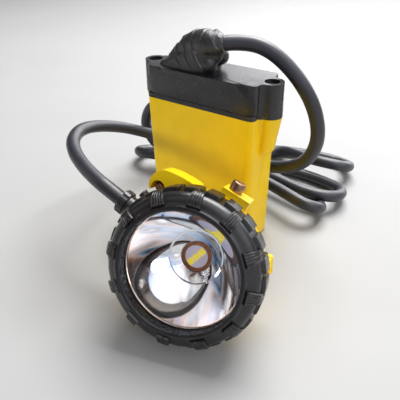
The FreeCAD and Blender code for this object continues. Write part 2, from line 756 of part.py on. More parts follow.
def outer_profile():
    """Outside of the body, from its threaded mouth to its domed back."""
    return [(THREAD_R, RIM_Z), (THREAD_R, -16.4), (40.1, -16.8), (40.1, -19.2), (38.0, -23.5),
            (35.6, -29.0), (31.3, -38.0), (26.5, -45.0), (18.0, -48.6), (0, -BODY_BACK)]


def inner_profile():
    """Hollow of the body."""
    return [(0, RIM_Z), (CAVITY_R, RIM_Z), (CAVITY_R, -29.5), (28.6, -38.5), (22.5, -44.6),
            (16.0, -46.4), (0, -47.0)]


def hood():
    """Awning over the charging pin, growing out of the body."""
    nose = V(-28.6, 35.2, HOOD_BACK)
    crown = V(-19.5, 46.9, HOOD_BACK)
    tail = V(-1.5, 40.6, HOOD_BACK)
    root_right = V(-1.5, 30, HOOD_BACK)
    root_left = V(-20, 22, HOOD_BACK)
    outline = wire([
        Part.Arc(nose, V(-27.2, 43.4, HOOD_BACK), crown),
        Part.Arc(crown, V(-10.5, 44.6, HOOD_BACK), tail),
        Part.LineSegment(tail, root_right),
        Part.LineSegment(root_right, root_left),
        Part.LineSegment(root_left, nose),
    ])
    solid = Part.Face(outline).extrude(V(0, 0, HOOD_DEPTH))
    front = HOOD_BACK + HOOD_DEPTH + 1
    pocket = drum(HOOD_POCKET_R, HOOD_FLOOR, front, *PIN_AT)
    mouth = block((PIN_AT[0] - 3 * HOOD_POCKET_R, PIN_AT[0]), (PIN_AT[1] - 2 * HOOD_POCKET_R, PIN_AT[1] - 1),
                  (HOOD_FLOOR, front))
    return solid.cut(pocket).cut(mouth)


def make_body():
    shell = turned(outer_profile() + [(0, RIM_Z)])
    stud_block = radial(block((-6, 6), (-10.3, 5.7), (28, STUD_LOW)), STUD_ANGLE, STUD_BACK)
    shell = shell.fuse([
        hood(),
        stud_block,
        radial(drum(KNOB_R + 0.8, 28, KNOB_BASE - 0.4), KNOB_ANGLE, KNOB_BACK),
        radial(drum(NECK_R + 2.2, 28, 41.5), GLAND_ANGLE, GLAND_BACK),
        radial(drum(PLUG_POST_R, 30, PLUG_LOW), PLUG_ANGLE, GLAND_BACK),
        block((-HOOK_BLOCK_HALF, HOOK_BLOCK_HALF), (HOOK_BLOCK_LOW, HOOK_UP), (-HOOK_SEAT, -40)),
    ])
    shell = shell.cut(turned(inner_profile()))
    shell = shell.cut([
        radial(drum(SHAFT_R + 0.4, 28, 45), KNOB_ANGLE, KNOB_BACK),
        radial(ring(ORING_R, SHAFT_R, *ORING_SEAT), KNOB_ANGLE, KNOB_BACK),
        radial(drum(STUD_BORE_R, 28, 46), STUD_ANGLE, STUD_BACK),
        radial(drum(NECK_R, 28, 45), GLAND_ANGLE, GLAND_BACK),
        drum(PIN_R, -36, -20, *PIN_AT),
    ])
    for x in HOOK_SCREWS_X:
        shell = shell.cut(drum(HOOK_HOLE_R, -60, HOOK_SCREW_TIP, x, HOOK_SCREW_Y))
    return shell.removeSplitter()


def make_reflector():
    """Parabolic cup with a flange at its mouth."""
    span = REFLECTOR_MOUTH_R ** 2 - REFLECTOR_THROAT_R ** 2
    depth = REFLECTOR_DEPTH + REFLECTOR_TOP

    def curve(shift):
        points = []
        for i in range(REFLECTOR_STEPS + 1):
            radius = REFLECTOR_THROAT_R + (REFLECTOR_MOUTH_R - REFLECTOR_THROAT_R) * i / REFLECTOR_STEPS
            z = -REFLECTOR_DEPTH + depth * (radius ** 2 - REFLECTOR_THROAT_R ** 2) / span
            points.append(V(radius + shift, 0, z))
        return points

    inside = curve(0.0)
    low = inside[-1].z - FLANGE_THICK
    outside = [p for p in curve(REFLECTOR_WALL) if p.z < low]
    inner_curve = Part.BSplineCurve()
    inner_curve.interpolate(inside)
    outer_curve = Part.BSplineCurve()
    outer_curve.interpolate(outside)
    mouth = [inside[-1], V(FLANGE_R, 0, inside[-1].z), V(FLANGE_R, 0, low), V(outside[-1].x, 0, low),
             outside[-1]]
    edges = [inner_curve.toShape()]
    edges += [Part.makeLine(a, b) for a, b in zip(mouth, mouth[1:])]
    edges += [outer_curve.toShape(), Part.makeLine(outside[0], inside[0])]
    face = Part.Face(Part.Wire(Part.__sortEdges__(edges)))
    return face.revolve(V(0, 0, 0), V(0, 0, 1), 360)


def make_heat_sink():
    """Plate with a post under the light source and ring fins behind."""
    disc = drum(SINK_R, SINK_BACK, SINK_FACE)
    post = drum(SINK_POST_R, SINK_FACE, BOARD_FACE - BOARD_THICK)
    fins = [ring(r, r - FIN_THICK, FIN_BACK, SINK_BACK) for r in FIN_RADII]
    return disc.fuse([post] + fins)


def make_chips():
    chips = []
    for i in (-1, 0, 1):
        chip = plate((CHIP_HALF, CHIP_HALF), BOARD_FACE, BOARD_FACE + CHIP_RISE)
        chip.translate(V(i * CHIP_PITCH, 0, 0))
        chip.rotate(V(0, 0, 0), V(0, 0, 1), CHIP_ROW_ANGLE)
        chips.append(chip)
    return together(chips)


def make_knob():
    """Round grip with flutes and a pointer rib."""
    knob = drum(KNOB_R, 0, KNOB_HEIGHT)
    top_edges = [e for e in knob.Edges if e.BoundBox.ZMin > KNOB_HEIGHT - 1e-6]
    knob = knob.makeFillet(KNOB_EDGE_R, top_edges)
    for i in range(FLUTE_COUNT):
        flute = drum(FLUTE_R, KNOB_EDGE_R, KNOB_HEIGHT + 1, KNOB_R + 0.4)
        flute.rotate(V(0, 0, 0), V(0, 0, 1), (i + 0.5) * 360 / FLUTE_COUNT)
        knob = knob.cut(flute)
    knob = knob.fuse(plate(POINTER_HALF, KNOB_HEIGHT - POINTER_RISE, KNOB_HEIGHT + POINTER_RISE))
    knob = knob.cut(drum(SHAFT_R, 0, SHAFT_SOCKET))
    knob.translate(V(0, 0, KNOB_BASE))
    return radial(knob, KNOB_ANGLE, KNOB_BACK)


def make_stud():
    """Round-headed charging contact that stands out of the body."""
    head = drum(STUD_R, STUD_LOW, STUD_HIGH)
    rim = [e for e in head.Edges if e.BoundBox.ZMin > STUD_HIGH - 1e-6]
    head = head.makeFillet(STUD_EDGE_R, rim)
    stud = head.fuse(drum(STUD_SHANK_R, 29.5, STUD_LOW))
    stud = stud.cut(drum(STUD_MARK_R, STUD_HIGH - STUD_MARK_DEPTH, STUD_HIGH + 1))
    return radial(stud, STUD_ANGLE, STUD_BACK)


def make_gland_nut():
    low = GLAND_FACE - NUT_HEIGHT
    nut = drum(NUT_R, low, GLAND_FACE)
    for i in range(NOTCH_COUNT):
        notch = block((NUT_R - NOTCH_DEPTH, NUT_R + 1), (-NOTCH_HALF, NOTCH_HALF), (low - 1, GLAND_FACE + 1))
        notch.rotate(V(0, 0, 0), V(0, 0, 1), i * 360 / NOTCH_COUNT)
        nut = nut.cut(notch)
    nut = nut.cut(drum(NECK_R - NECK_STEP, low, GLAND_FACE - NUT_RIM))
    nut = nut.cut(drum(CABLE_R + CABLE_FIT, low, GLAND_FACE + 1))
    return radial(nut, GLAND_ANGLE, GLAND_BACK)


def make_gland_neck():
    neck = drum(NECK_R, NECK_FOOT, GLAND_FACE - NUT_HEIGHT)
    neck = neck.fuse(drum(NECK_R - NECK_STEP, NECK_FOOT, GLAND_FACE - NUT_RIM))
    neck = neck.cut(drum(CABLE_R + CABLE_FIT, NECK_FOOT - 1, GLAND_FACE))
    neck = neck.cut(ring(GLAND_SEAL_R, GLAND_SEAL_BORE_R, GLAND_SEAL_FOOT, GLAND_FACE))
    return radial(neck, GLAND_ANGLE, GLAND_BACK)


def make_hook():
    """Blade that slides behind the bracket on a helmet, hung from a top block."""
    blade_front = -HOOK_SEAT - HOOK_GAP
    blade_back = blade_front - HOOK_THICK
    half = HOOK_WIDTH / 2
    blade = rounded_block((-half, half), (-HOOK_DOWN, HOOK_UP), (blade_back, blade_front), HOOK_CORNER_R)
    hook = blade.fuse(block((-HOOK_BLOCK_HALF, HOOK_BLOCK_HALF), (HOOK_BLOCK_LOW, HOOK_UP),
                            (blade_front, -HOOK_SEAT)))
    for x in HOOK_SCREWS_X:
        hook = hook.cut(drum(HOOK_HOLE_R, blade_back, -HOOK_SEAT, x, HOOK_SCREW_Y))
    return hook


def hook_screw(x):
    low = -HOOK_SEAT - HOOK_GAP - HOOK_THICK
    shank = drum(HOOK_SCREW_R, low, HOOK_SCREW_TIP, x, HOOK_SCREW_Y)
    return shank.fuse(drum(HOOK_SCREW_HEAD_R, low - HOOK_SCREW_HEAD, low, x, HOOK_SCREW_Y))


def make_head_leads():
    """Two leads from the cable's end to the driver board."""
    turn = math.radians(GLAND_ANGLE)
    leads = []
    for shift in (-1.5, 1.5):
        start = (28.4 * math.cos(turn), 28.4 * math.sin(turn) + shift, -GLAND_BACK)
        points = [start, (26.5 * math.cos(turn), 26.5 * math.sin(turn) + shift, -25.2),
                  (-24.0, 9 + 2 * shift, -29.5)]
        leads.append(tube(points, WIRE_R)[0])
    return together(leads)


def build_headpiece():
    save_head("bezel_ring", make_bezel())
    save_head("lens", drum(LENS_R, SEAL_FRONT, LENS_FRONT))
    save_head("lens_seal", ring(LENS_R - 0.1, WINDOW_R + 0.3, SEAL_FRONT - SEAL_THICK, SEAL_FRONT))
    save_head("head_body", make_body())
    save_head("reflector", make_reflector())
    save_head("led_board", drum(LED_BOARD_R, BOARD_FACE - BOARD_THICK, BOARD_FACE))
    save_head("led_ring", ring(LED_BOARD_R, LED_RING_R, BOARD_FACE, BOARD_FACE + LED_RING_RISE))
    save_head("led_chips", make_chips())
    save_head("heat_sink", make_heat_sink())
    save_head("driver_board", drum(DRIVER_R, DRIVER_BACK, DRIVER_FACE))
    save_head("driver_parts", together([block((x, x + 6), (-4, 5), (DRIVER_FACE, DRIVER_PARTS_TOP))
                                        for x in (-14, -4, 7)]))
    save_head("switch_knob", make_knob())
    save_head("switch_shaft", radial(drum(SHAFT_R - 0.02, SHAFT_FOOT, KNOB_BASE + SHAFT_SOCKET),
                                     KNOB_ANGLE, KNOB_BACK))
    save_head("switch_oring", radial(ring(ORING_R, SHAFT_R + CABLE_FIT, *ORING_SEAT), KNOB_ANGLE, KNOB_BACK))
    save_head("rotary_switch", radial(plate(SWITCH_HALF, *SWITCH_DEPTH), KNOB_ANGLE, KNOB_BACK))
    save_head("charge_stud", make_stud())
    save_head("stud_nut", radial(ring(STUD_NUT_R, STUD_SHANK_R + 0.02, *STUD_NUT), STUD_ANGLE, STUD_BACK))
    save_head("charge_pin", drum(PIN_R - 0.02, PIN_BACK, PIN_FRONT, *PIN_AT))
    save_head("pin_collar", ring(COLLAR_R, PIN_R, HOOD_FLOOR, HOOD_FLOOR + COLLAR_THICK, *PIN_AT))
    save_head("gland_neck", make_gland_neck())
    save_head("gland_seal", radial(ring(GLAND_SEAL_R - 0.02, CABLE_R + CABLE_FIT, GLAND_SEAL_FOOT + 0.1,
                                        GLAND_FACE - NUT_RIM - 0.1), GLAND_ANGLE, GLAND_BACK))
    save_head("gland_nut", make_gland_nut())
    save_head("cable_end", radial(drum(CABLE_R, CABLE_END_FOOT, GLAND_FACE), GLAND_ANGLE, GLAND_BACK))
    save_head("lock_screw", radial(drum(PLUG_R, PLUG_LOW, PLUG_HIGH).cut(
        drum(PLUG_SLOT_R, PLUG_SLOT_LOW, PLUG_HIGH + 1)), PLUG_ANGLE, GLAND_BACK))
    save_head("helmet_hook", make_hook())
    save_head("hook_screws", together([hook_screw(x) for x in HOOK_SCREWS_X]))
    save_head("head_leads", make_head_leads())


build_battery()
build_cable()
build_headpiece()
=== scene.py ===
import json
import math
import bmesh
import bpy
from mathutils import Matrix, Vector, kdtree, noise
from mathutils.bvhtree import BVHTree


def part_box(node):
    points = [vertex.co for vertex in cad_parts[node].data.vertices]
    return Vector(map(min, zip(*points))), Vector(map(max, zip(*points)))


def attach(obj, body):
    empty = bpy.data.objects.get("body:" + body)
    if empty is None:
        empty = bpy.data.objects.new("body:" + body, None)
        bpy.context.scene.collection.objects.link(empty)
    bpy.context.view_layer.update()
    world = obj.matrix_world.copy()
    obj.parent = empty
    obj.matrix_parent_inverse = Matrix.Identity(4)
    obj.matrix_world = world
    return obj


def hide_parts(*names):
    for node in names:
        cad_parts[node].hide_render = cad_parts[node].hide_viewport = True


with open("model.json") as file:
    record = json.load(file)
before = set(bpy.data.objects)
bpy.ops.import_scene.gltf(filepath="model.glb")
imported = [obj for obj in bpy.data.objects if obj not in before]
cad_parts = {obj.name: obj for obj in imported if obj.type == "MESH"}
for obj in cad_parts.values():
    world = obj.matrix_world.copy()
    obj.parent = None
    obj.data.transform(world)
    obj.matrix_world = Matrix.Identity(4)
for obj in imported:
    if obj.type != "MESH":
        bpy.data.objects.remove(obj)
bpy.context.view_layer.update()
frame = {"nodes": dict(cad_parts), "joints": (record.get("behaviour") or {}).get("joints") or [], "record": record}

# A miner's cap lamp. Lengths in this file are millimetres until a mesh is made.
MM = 0.001
scene = bpy.context.scene
scene.view_settings.view_transform = "Standard"
scene.view_settings.look = "None"

# ---- camera ----
CAMERA_AT = Vector((154.25, -224.17, 198.79)) * MM
CAMERA_PITCH = math.radians(33.81)
CAMERA_YAW = math.radians(-36.16)
CAMERA_ROLL = math.radians(-1.23)
CAMERA_LENS = 39.8


def make_camera():
    flat = math.cos(CAMERA_PITCH)
    look = Vector((math.sin(CAMERA_YAW) * flat, math.cos(CAMERA_YAW) * flat, -math.sin(CAMERA_PITCH)))
    level = Vector((math.cos(CAMERA_YAW), -math.sin(CAMERA_YAW), 0))
    above = level.cross(look)
    right = level * math.cos(CAMERA_ROLL) + above * math.sin(CAMERA_ROLL)
    up = above * math.cos(CAMERA_ROLL) - level * math.sin(CAMERA_ROLL)
    data = bpy.data.cameras.new("camera")
    data.lens = CAMERA_LENS
    data.sensor_width = 36.0
    data.clip_start = 0.005
    camera = bpy.data.objects.new("camera", data)
    scene.collection.objects.link(camera)
    turn = Matrix((right, up, -look)).transposed().to_4x4()
    camera.matrix_world = Matrix.Translation(CAMERA_AT) @ turn
    scene.camera = camera


make_camera()

# ---- cable ----
CABLE_D = 9.0
ROUTE = [
    # over to the right and down behind the box
    (10, -2, 131), (20, 4.9, 132), (34, 11.5, 128.5), (50, 16.5, 115), (63, 20, 96),
    (67.5, 23, 74), (59.5, 27, 54), (41, 32, 41), (12, 38, 33), (-24, 42, 25), (-58, 40, 18),
    # first fold, on the left
    (-80, 36, 14.5), (-96, 32, 13.9), (-106, 37, 11), (-109, 47, 7), (-103, 57, 4.8),
    (-86, 66, 4.6), (-58, 86, 4.6), (-24, 112, 4.6), (10, 126, 4.6), (38, 131, 4.6),
    # far fold, on the right
    (54, 129, 5), (64, 119, 9), (64, 106, 14.5), (54, 98, 18), (36, 98, 17), (20, 107, 13),
    # fold behind the box
    (6, 115, 9.5), (-5, 112, 7), (-11, 102, 5.2), (-6, 92, 4.6), (10, 89, 4.6),
    (32, 92, 4.6), (50, 91, 4.6),
    # middle fold, on the right
    (63, 87, 5.2), (73, 78, 7.6), (73, 63, 11.6), (62, 54, 14), (46, 53, 14), (20, 59, 14),
    (-14, 62, 14), (-48, 55, 14),
    # raised fold, on the left
    (-70, 45, 15), (-90, 43, 20), (-99, 42, 35), (-94, 42, 52), (-80, 43, 62), (-58, 48, 60),
    (-36, 60, 46), (-16, 71, 27), (3, 76, 11), (22, 71, 4.8), (42, 62.5, 4.6),
    # near fold, on the right
    (56, 58, 4.8), (67, 50, 8), (68, 39, 13), (60, 32.5, 17), (46, 36.5, 17.5), (28, 43, 17),
    (-8, 51, 18), (-44, 51, 21), (-69, 42, 29),
    # round in the air to the headpiece
    (-84, 25, 40), (-89, 5, 51), (-91, -17, 60), (-87, -37, 66), (-76, -54, 68),
    (-61, -66, 68), (-43.5, -74.3, 67), (-28, -79, 65.3),
    (-15.793, -80.864, 63.2), (-6.369, -79.981, 58.656),
]


def make_cable():
    data = bpy.data.curves.new("cable_jacket", "CURVE")
    data.dimensions = "3D"
    spline = data.splines.new("NURBS")
    spline.points.add(len(ROUTE) - 1)
    for point, at in zip(spline.points, ROUTE):
        point.co = (*(c * MM for c in at), 1.0)
    spline.order_u = 3
    spline.use_endpoint_u = True
    spline.resolution_u = 10
    data.bevel_depth = CABLE_D / 2 * MM
    data.bevel_resolution = 7
    data.use_fill_caps = True
    data.materials.append(bpy.data.materials.new("cable_jacket"))
    cable = bpy.data.objects.new("cable_jacket", data)
    scene.collection.objects.link(cable)
    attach(cable, "lamp")
    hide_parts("cable")
    return cable


cable = make_cable()


# ---- materials ----
class Look:
    """Node material on the Principled shader, coloured, roughened and bumped by noise."""

    def __init__(self, name, material=None, **sockets):
        self.material = material or bpy.data.materials.new(name)
        self.material.use_nodes = True
        self.nodes = self.material.node_tree.nodes
        self.links = self.material.node_tree.links
        self.shader = self.nodes["Principled BSDF"]
        self.place = self.nodes.new("ShaderNodeTexCoord").outputs["Object"]
        for socket, value in sockets.items():
            self.shader.inputs[socket.replace("_", " ")].default_value = value

    def noise(self, size, detail=3.0, stretch=None, rough=0.55):
        """Noise whose blobs are about `size` millimetres across."""
        place = self.place
        if stretch:
            mapping = self.nodes.new("ShaderNodeMapping")
            mapping.inputs["Scale"].default_value = stretch
            self.links.new(place, mapping.inputs["Vector"])
            place = mapping.outputs["Vector"]
        node = self.nodes.new("ShaderNodeTexNoise")
        node.inputs["Scale"].default_value = 1.0 / (size * MM)
        node.inputs["Detail"].default_value = detail
        node.inputs["Roughness"].default_value = rough
        self.links.new(place, node.inputs["Vector"])
        return node.outputs["Fac"]

    def ramp(self, value, stops):
        """Colours or greys from a value; stops are (place, colour)."""
        node = self.nodes.new("ShaderNodeValToRGB")
        elements = node.color_ramp.elements
        while len(elements) < len(stops):
            elements.new(0.5)
        for element, (at, colour) in zip(elements, stops):
            element.position = at
            element.color = (*colour, 1.0) if isinstance(colour, tuple) else (colour,) * 3 + (1.0,)
        self.links.new(value, node.inputs["Fac"])
        return node.outputs["Color"]

    def mix(self, factor, low, high):
        node = self.nodes.new("ShaderNodeMix")
        node.data_type = "RGBA"
        for socket, value in ((node.inputs[0], factor), (node.inputs[6], low), (node.inputs[7], high)):
            if isinstance(value, bpy.types.NodeSocket):
                self.links.new(value, socket)
            else:
                socket.default_value = (*value, 1.0) if isinstance(value, tuple) else value
        return node.outputs[2]

    def math(self, operation, first, second=0.0, third=0.0):
        node = self.nodes.new("ShaderNodeMath")
        node.operation = operation
        for socket, value in zip(node.inputs, (first, second, third)):
            if isinstance(value, bpy.types.NodeSocket):
                self.links.new(value, socket)
            else:
                socket.default_value = value
        return node.outputs[0]

    def axes(self):
        node = self.nodes.new("ShaderNodeSeparateXYZ")
        self.links.new(self.place, node.inputs[0])
        return node.outputs

    def edges(self, low=0.52, high=0.6):
        """1 on the mesh's convex edges."""
        node = self.nodes.new("ShaderNodeNewGeometry")
        return self.ramp(node.outputs["Pointiness"], ((low, 0.0), (high, 1.0)))

    def colour(self, value):
        self.links.new(value, self.shader.inputs["Base Color"])
        return self

    def roughness(self, low, high, size=6.0, stretch=None):
        value = self.ramp(self.noise(size, 4.0, stretch), ((0.3, low), (0.7, high)))
        self.links.new(value, self.shader.inputs["Roughness"])
        return self

    def bump(self, heights, distance):
        """Bump from a list of (height, strength)."""
        normal = None
        for height, strength in heights:
            node = self.nodes.new("ShaderNodeBump")
            node.inputs["Strength"].default_value = strength
            node.inputs["Distance"].default_value = distance * MM
            self.links.new(height, node.inputs["Height"])
            if normal:
                self.links.new(normal, node.inputs["Normal"])
            normal = node.outputs["Normal"]
        self.links.new(normal, self.shader.inputs["Normal"])
        return self


def moulded(name, dark, light, rough, grain=0.22, patch=14.0, grain_strength=0.25, edge_wear_and_glint=None, **sockets):
    """Moulded plastic or rubber: two close tones, a fine grain and tinted convex edges, worn on the yellow shell
    and a painted brown glint on the bezel rubber.
    """
    look = Look(name, **sockets)
    tone = look.ramp(look.noise(patch, 3.0), ((0.35, dark), (0.68, light)))
    # convex edges tinted: real wear on the yellow shell, a painted glint on the bezel rubber
    if edge_wear_and_glint:
        edge_wear_and_glint_mask = look.math("MULTIPLY", look.edges(),
                            look.ramp(look.noise(1.8, 4.0), ((0.45, 0.0), (0.7, 1.0))))
        tone = look.mix(edge_wear_and_glint_mask, tone, edge_wear_and_glint)
    look.colour(tone).roughness(*rough)
    look.bump([(look.noise(grain, 2.0), grain_strength), (look.noise(patch / 3, 2.0), 0.08)], 0.08)
    return look.material


def metal(name, dark, light, rough, brushed=0.35, **sockets):
    """Turned or rolled metal with faint scratches and stains."""
    look = Look(name, Metallic=1.0, **sockets)
    look.colour(look.ramp(look.noise(2.2, 5.0), ((0.3, dark), (0.7, light)))).roughness(*rough, size=1.5)
    look.bump([(look.noise(brushed, 4.0, (1, 1, 9)), 0.15)], 0.02)
    return look.material


def make_looks():
    looks = {}
    looks["yellow_shell"] = moulded("yellow_shell", (0.92, 0.60, 0.004), (0.97, 0.65, 0.007), (0.32, 0.44),
                                    edge_wear_and_glint=(0.92, 0.68, 0.1), Specular_IOR_Level=0.3)
    looks["black_shell"] = moulded("black_shell", (0.013, 0.013, 0.015), (0.018, 0.018, 0.021), (0.24, 0.34),
                                   Specular_IOR_Level=0.6)
    # the bezel rubber's brownish edge tint is a painted glint: the case's yellow reflected on the lugs' edges
    looks["bezel_rubber"] = moulded("bezel_rubber", (0.006, 0.006, 0.007),
                                    (0.011, 0.011, 0.012), (0.22, 0.34),
                                    edge_wear_and_glint=(0.1, 0.07, 0.05), Specular_IOR_Level=0.6)
    looks["seal_rubber"] = moulded("seal_rubber", (0.012, 0.012, 0.013), (0.02, 0.02, 0.021), (0.5, 0.65))
    looks["lead_insulation"] = moulded("lead_insulation", (0.28, 0.015, 0.012),
                                       (0.38, 0.03, 0.02), (0.3, 0.45))
    looks["cell_wrap"] = moulded("cell_wrap", (0.02, 0.11, 0.3), (0.03, 0.15, 0.38), (0.2, 0.32))
    looks["cradle_plastic"] = moulded("cradle_plastic", (0.35, 0.34, 0.32), (0.45, 0.44, 0.41), (0.45, 0.6))
    looks["foam"] = moulded("foam", (0.05, 0.05, 0.055), (0.1, 0.1, 0.105), (0.85, 0.98), grain=0.5,
                            grain_strength=0.9)
    looks["circuit_board"] = moulded("circuit_board", (0.01, 0.09, 0.035), (0.02, 0.15, 0.06), (0.25, 0.4))
    looks["chip_black"] = moulded("chip_black", (0.014, 0.014, 0.015), (0.025, 0.025, 0.027), (0.4, 0.55))
    looks["steel"] = metal("steel", (0.34, 0.34, 0.35), (0.52, 0.52, 0.53), (0.22, 0.42))
    looks["nickel"] = metal("nickel", (0.55, 0.53, 0.49), (0.68, 0.66, 0.62), (0.2, 0.35))
    looks["aluminium"] = metal("aluminium", (0.6, 0.6, 0.61), (0.74, 0.74, 0.75), (0.3, 0.45))
    looks["brass"] = metal("brass", (0.22, 0.12, 0.075), (0.42, 0.25, 0.16), (0.2, 0.4))
    looks["copper"] = metal("copper", (0.3, 0.11, 0.055), (0.5, 0.2, 0.1), (0.25, 0.45))
    # painted light: the LED board and chips glow by emission with the lamp off, standing in for the studio light
    # the glass lens shuts out
    looks["led_ceramic"] = moulded("led_ceramic", (0.6, 0.56, 0.72), (0.72, 0.68, 0.82), (0.3, 0.45),
                                   Emission_Color=(0.6, 0.57, 0.72, 1), Emission_Strength=0.22)
    looks["led_phosphor"] = moulded("led_phosphor", (0.85, 0.66, 0.05), (0.95, 0.78, 0.12), (0.35, 0.5),
                                    grain=0.12, patch=1.2, Emission_Color=(0.9, 0.72, 0.05, 1),
                                    Emission_Strength=0.45)
    looks["cable_jacket"] = cable_look()
    looks["wrap_film"] = wrap_look()
    # light grey strips on black tape: painted glints along the tape edges
    looks["tape_edge_glint"] = moulded("tape_edge_glint", (0.1, 0.1, 0.11), (0.3, 0.3, 0.32), (0.12, 0.25), patch=2.0)
    looks["reflector_chrome"] = chrome_look()
    looks["lens_clear"] = lens_look()
    return looks


def cable_look():
    look = Look("cable_jacket", cable.data.materials[0],
                Specular_IOR_Level=0.55, Coat_Weight=0.3, Coat_Roughness=0.3)
    tone = look.ramp(look.noise(22.0, 3.0), ((0.35, (0.012, 0.013, 0.018)), (0.68, (0.02, 0.021, 0.03))))
    dust = look.ramp(look.noise(2.5, 6.0), ((0.58, 0.0), (0.8, 0.35)))
    look.colour(look.mix(dust, tone, (0.05, 0.051, 0.062))).roughness(0.36, 0.5, size=9.0)
    look.bump([(look.noise(0.18, 2.0), 0.2), (look.noise(5.0, 2.0), 0.12)], 0.1)
    return look.material


def wrap_look():
    look = Look("wrap_film", Specular_IOR_Level=0.75)
    tone = look.ramp(look.noise(5.0, 4.0), ((0.3, (0.012, 0.012, 0.013)), (0.7, (0.022, 0.022, 0.024))))
    dust = look.math("MULTIPLY", look.edges(0.52, 0.6),
                     look.ramp(look.noise(1.4, 4.0), ((0.45, 0.0), (0.75, 0.5))))
    look.colour(look.mix(dust, tone, (0.07, 0.07, 0.08))).roughness(0.3, 0.5, size=4.0)
    look.bump([(look.noise(0.7, 3.0, (1.0, 0.45, 1.3)), 0.12),
               (look.noise(3.2, 3.0, (1.6, 0.5, 1)), 0.3)], 0.2)
    return look.material


def chrome_look():
    """Vapour-coated reflector; its colour is painted with reflections: it warms to rose towards the rim and drifts
    into blue in patches.
    """
    look = Look("reflector_chrome", Metallic=1.0)
    axes = look.axes()
    centre = head_point(0, 0, -15)
    offsets = [look.math("SUBTRACT", axes[i], centre[i]) for i in range(3)]
    length = look.math("SQRT", look.math("ADD", look.math("ADD", look.math("POWER", offsets[0], 2.0),
                       look.math("POWER", offsets[1], 2.0)), look.math("POWER", offsets[2], 2.0)))
    # painted reflection: the chrome's colour warms to rose towards the rim
    tint = look.ramp(look.math("MULTIPLY", length, 1 / (36 * MM)),
                     ((0.0, (0.9, 0.88, 0.86)), (0.55, (0.93, 0.93, 0.95)), (0.82, (0.94, 0.9, 0.88)),
                      (0.93, (0.93, 0.74, 0.62)), (1.0, (0.9, 0.68, 0.55))))
    # painted reflection: blue patches in the chrome's colour
    blue_reflection_mask = look.ramp(look.noise(17.0, 2.0), ((0.52, 0.0), (0.66, 0.55)))
    look.colour(look.mix(blue_reflection_mask, tint, (0.5, 0.66, 0.9)))
    look.roughness(0.02, 0.06, size=12.0)
    look.bump([(look.noise(9.0, 2.0), 0.12), (look.noise(0.6, 2.0), 0.02)], 0.06)
    return look.material


def lens_look():
    look = Look("lens_clear", Transmission_Weight=1.0, IOR=1.46)
    look.colour(look.ramp(look.noise(9.0, 2.0), ((0.2, (0.97, 0.985, 0.98)), (0.8, (1.0, 1.0, 1.0)))))
    look.roughness(0.0, 0.012, size=4.0)
    return look.material


# ---- the headpiece's own frame: right, up and forward of its lens ----
turn_joint = next(joint for joint in frame["joints"] if joint["name"] == "bezel_turn")
FORWARD = Vector(turn_joint["axis"]).normalized()
RIGHT = Vector((0, 0, 1)).cross(FORWARD).normalized()
UP = FORWARD.cross(RIGHT)
HEAD_AT = Vector(turn_joint["pos_m"])


def head_point(right, up, forward):
    """Point in metres from millimetres in the headpiece's frame."""
    return HEAD_AT + (RIGHT * right + UP * up + FORWARD * forward) * MM


def head_polar(radius, degrees, forward):
    turn = math.radians(degrees)
    return head_point(radius * math.cos(turn), radius * math.sin(turn), forward)


LOOKS = make_looks()


# ---- mesh helpers ----
def add_piece(name, mesh, look, body, replaced=(), smooth=40.0):
    """Object for a finished mesh in metres, riding on a body."""
    piece = bpy.data.objects.new(name, mesh)
    scene.collection.objects.link(piece)
    mesh.materials.clear()
    mesh.materials.append(LOOKS[look])
    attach(piece, body)
    if replaced:
        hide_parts(*replaced)
    for polygon in mesh.polygons:
        polygon.use_smooth = True
    mesh.set_sharp_from_angle(angle=math.radians(smooth))
    return piece


def mesh_from(name, points, faces):
    mesh = bpy.data.meshes.new(name)
    mesh.from_pydata(points, [], faces)
    work = bmesh.new()
    work.from_mesh(mesh)
    bmesh.ops.recalc_face_normals(work, faces=work.faces)
    work.to_mesh(mesh)
    work.free()
    return mesh


def torus_mesh(name, rows):
    """Mesh from rows of points, closed both along and across the rows."""
    count, width = len(rows), len(rows[0])
    points = [p for row in rows for p in row]
    faces = [(i * width + j, (i + 1) % count * width + j, (i + 1) % count * width + (j + 1) % width,
              i * width + (j + 1) % width) for i in range(count) for j in range(width)]
    return mesh_from(name, points, faces)


def lathe(name, profile, look, body, replaced=(), steps=160, smooth=35.0):
    """Ring turned about the headpiece's axis from a closed (radius, forward) profile."""
    rows = [[head_polar(r, j * 360 / steps, z) for j in range(steps)] for r, z in profile]
    return add_piece(name, torus_mesh(name, rows), look, body, replaced, smooth)


def disc_lathe(name, profile, look, body, replaced=(), steps=128, smooth=35.0):
    """Solid turned about the headpiece's axis; the profile starts and ends on it."""
    points = [head_point(0, 0, profile[0][1])]
    for r, z in profile[1:-1]:
        points += [head_polar(r, j * 360 / steps, z) for j in range(steps)]
    points.append(head_point(0, 0, profile[-1][1]))
    faces = [(0, 1 + j, 1 + (j + 1) % steps) for j in range(steps)]
    rings = len(profile) - 2
    for i in range(rings - 1):
        low, high = 1 + i * steps, 1 + (i + 1) * steps
        faces += [(low + j, high + j, high + (j + 1) % steps, low + (j + 1) % steps) for j in range(steps)]
    last = 1 + (rings - 1) * steps
    faces += [(last + j, len(points) - 1, last + (j + 1) % steps) for j in range(steps)]
    return add_piece(name, mesh_from(name, points, faces), look, body, replaced, smooth)


def rounded(profile):
    """Open profile with its corners cut twice over into curves."""
    for _ in range(2):
        cut = []
        for a, b in zip(profile, profile[1:]):
            cut.append(tuple(p + (q - p) * 0.25 for p, q in zip(a, b)))
            cut.append(tuple(p + (q - p) * 0.75 for p, q in zip(a, b)))
        profile = cut
    return profile


NODE_BODY = {node: body for body, nodes in frame["record"]["behaviour"]["bodies"].items() for node in nodes}


